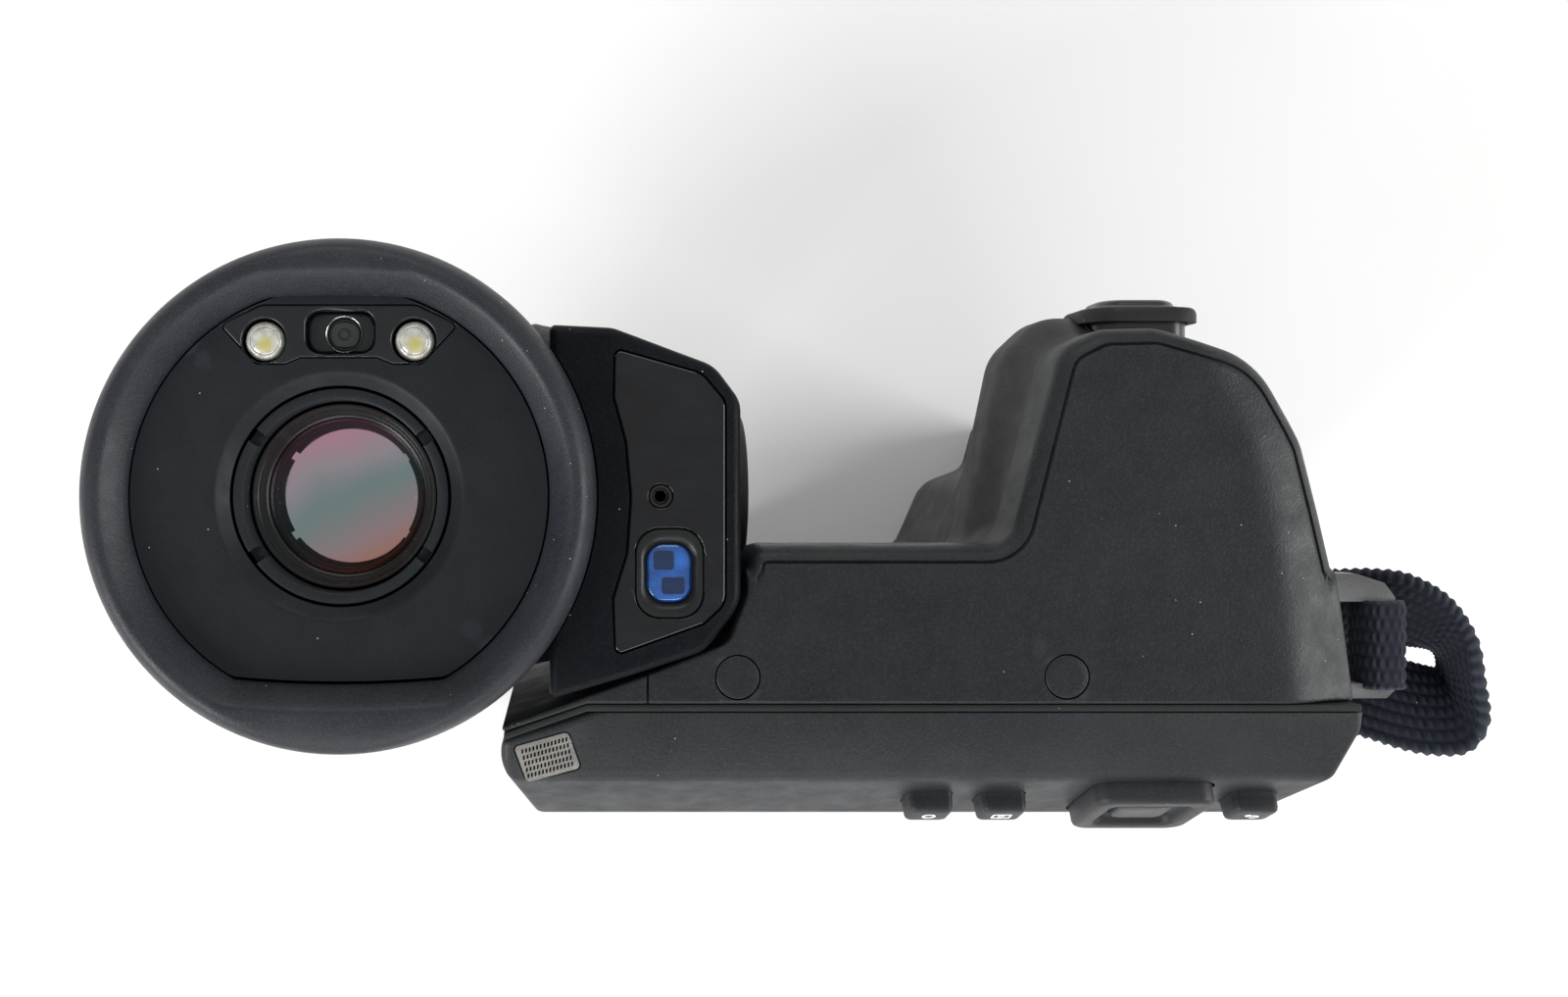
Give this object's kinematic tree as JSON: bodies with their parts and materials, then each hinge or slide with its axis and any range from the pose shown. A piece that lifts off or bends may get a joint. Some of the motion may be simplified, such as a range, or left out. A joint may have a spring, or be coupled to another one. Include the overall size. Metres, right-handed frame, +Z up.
{
  "type": "thermal imaging camera",
  "caption": "Handheld thermal imaging camera with a tilting round lens block and laser wing, a rear display housing with a row of keys, and a side grip with a trigger and hand strap.",
  "frame": {"origin": "on the flat base, just behind the mouth of the tripod socket", "axes": "+Z up and along the lens at rest, +Y towards the scene in use and away from the display, +X from the lens block to the grip"},
  "size_m": [0.2362, 0.0979, 0.1505],
  "materials": {
    "cover_plastic": "fine-grained matte black",
    "grip_rubber": "soft-touch dark grey",
    "housing_plastic": "fine-grained charcoal",
    "seal_rubber": "matte black",
    "key_rubber": "soft-touch charcoal",
    "key_cap": "satin charcoal",
    "gloss_cap": "semi-gloss black",
    "screen_glass": "gloss black cover glass",
    "screen_panel": "dark panel",
    "metal_grey": "satin steel",
    "circuit_board": "green solder mask",
    "battery_shell": "matte black",
    "latch_red": "satin red",
    "grille_metal": "warm grey satin",
    "brass": "plain",
    "lug_metal": "satin grey",
    "strap_webbing": "coarse black webbing",
    "lens_shell": "fine-grained matte black",
    "ring_rubber": "soft matte black",
    "plate_matte": "dead-matte black",
    "lamp_gloss": "smoked gloss black",
    "lamp_dome": "milky",
    "lamp_phosphor": "yellow phosphor",
    "camera_glass": "dark coated glass",
    "barrel_black": "satin black",
    "ir_coating": "pink and teal coated mirror-like infrared lens",
    "detector_metal": "plain",
    "laser_panel": "gloss black window",
    "receiver_blue": "blue coated"
  },
  "bodies": {
    "camera_body": {"front_cover": "cover_plastic", "grip_shell": "grip_rubber", "processing_unit": "metal_grey", "switch_carrier": "battery_shell", "body_seal": "seal_rubber", "display_housing": "housing_plastic", "display_glass": "screen_glass", "lcd_panel": "screen_panel", "display_frame": "metal_grey", "main_board": "circuit_board", "button_board": "circuit_board", "battery_pack": "battery_shell", "speaker_grille": "grille_metal", "speaker": "battery_shell", "screw_plugs": "cover_plastic", "housing_screws": "metal_grey", "tripod_insert": "brass", "connector_board": "circuit_board", "connector_ports": "metal_grey", "upper_strap_lug": "lug_metal", "lower_strap_lug": "lug_metal", "hand_strap": "strap_webbing", "pivot_tube": "metal_grey", "trigger_collar": "seal_rubber"},
    "lens_block": {"lens_housing": "lens_shell", "laser_wing": "lens_shell", "front_ring": "ring_rubber", "face_plate": "plate_matte", "lamp_window": "lamp_gloss", "lamp_domes": "lamp_dome", "lamp_chips": "lamp_phosphor", "visible_camera": "camera_glass", "camera_bezel": "lamp_gloss", "ir_detector": "detector_metal", "detector_board": "circuit_board", "laser_glass": "laser_panel", "laser_emitter": "barrel_black", "receiver_lens": "receiver_blue", "receiver_frame": "barrel_black", "laser_board": "circuit_board", "pivot_bush": "brass", "lens_screws": "metal_grey"},
    "focus_ring": {"focus_ring": "plate_matte"},
    "lens_cell": {"lens_cell": "barrel_black", "ir_lens": "ir_coating"},
    "p_button": {"p_button": "key_rubber"},
    "gallery_button": {"gallery_button": "key_rubber"},
    "back_button": {"back_button": "key_rubber"},
    "nav_rocker": {"nav_rocker": "metal_grey"},
    "nav_ring": {"nav_ring": "key_rubber"},
    "nav_center": {"nav_center": "key_cap"},
    "power_button": {"power_button": "key_rubber"},
    "trigger_button": {"trigger_button": "gloss_cap"},
    "focus_button": {"focus_button": "gloss_cap"},
    "connector_flap": {"connector_flap": "seal_rubber"},
    "battery_door": {"battery_door": "housing_plastic"},
    "battery_latch": {"battery_latch": "latch_red"}
  },
  "joints": [
    {"name": "lens_tilt", "type": "hinge", "parent": "camera_body", "child": "lens_block", "pos_m": [0, 0.0295, 0.1], "axis": [-1, 0, 0], "range_deg": [0, 180]},
    {"name": "focus_turn", "type": "hinge", "parent": "lens_block", "child": "focus_ring", "pos_m": [-0.0955, 0.0295, 0.139], "axis": [0, 0, 1], "range_deg": [-30, 30]},
    {"name": "lens_focus", "type": "slide", "parent": "lens_block", "child": "lens_cell", "axis": [0, 0, 1], "range_m": [-0.0006, 0.0006]},
    {"name": "p_button_press", "type": "slide", "parent": "camera_body", "child": "p_button", "axis": [0, 0.891, -0.454], "range_m": [0, 0.0006], "stiffness_N_per_m": 1500},
    {"name": "gallery_button_press", "type": "slide", "parent": "camera_body", "child": "gallery_button", "axis": [0, 0.891, -0.454], "range_m": [0, 0.0006], "stiffness_N_per_m": 1500},
    {"name": "back_button_press", "type": "slide", "parent": "camera_body", "child": "back_button", "axis": [0, 0.891, -0.454], "range_m": [0, 0.0006], "stiffness_N_per_m": 1500},
    {"name": "nav_tilt_up_down", "type": "hinge", "parent": "camera_body", "child": "nav_rocker", "pos_m": [0.0363, -0.01561, 0.1222], "axis": [1, 0, 0], "range_deg": [-1.5, 1.5], "stiffness_Nm_per_rad": 0.6},
    {"name": "nav_tilt_left_right", "type": "hinge", "parent": "nav_rocker", "child": "nav_ring", "pos_m": [0.0363, -0.01561, 0.1222], "axis": [0, 0.454, 0.891], "range_deg": [-1.5, 1.5], "stiffness_Nm_per_rad": 0.6},
    {"name": "nav_center_press", "type": "slide", "parent": "nav_ring", "child": "nav_center", "axis": [0, 0.891, -0.454], "range_m": [0, 0.0005], "stiffness_N_per_m": 1500},
    {"name": "power_button_press", "type": "slide", "parent": "camera_body", "child": "power_button", "axis": [0, 1, 0], "range_m": [0, 0.0005], "stiffness_N_per_m": 1500},
    {"name": "trigger_press", "type": "slide", "parent": "camera_body", "child": "trigger_button", "axis": [0, -1, 0], "range_m": [0, 0.0015], "stiffness_N_per_m": 1200},
    {"name": "focus_button_press", "type": "slide", "parent": "camera_body", "child": "focus_button", "axis": [0, -1, 0], "range_m": [0, 0.001], "stiffness_N_per_m": 1200},
    {"name": "connector_flap_swing", "type": "hinge", "parent": "camera_body", "child": "connector_flap", "pos_m": [-0.06596, -0.02368, 0.042], "axis": [0, 0, 1], "range_deg": [0, 100]},
    {"name": "battery_door_swing", "type": "hinge", "parent": "camera_body", "child": "battery_door", "pos_m": [0.0452, 0.0282, 0.0018], "axis": [1, 0, 0], "range_deg": [0, 95]},
    {"name": "battery_latch_slide", "type": "slide", "parent": "battery_door", "child": "battery_latch", "axis": [0, 1, 0], "range_m": [0, 0.003], "stiffness_N_per_m": 150}
  ],
  "couplings": [
    {"joint": "focus_turn", "follows": "lens_focus", "rad_per_m": 872.66}
  ]
}
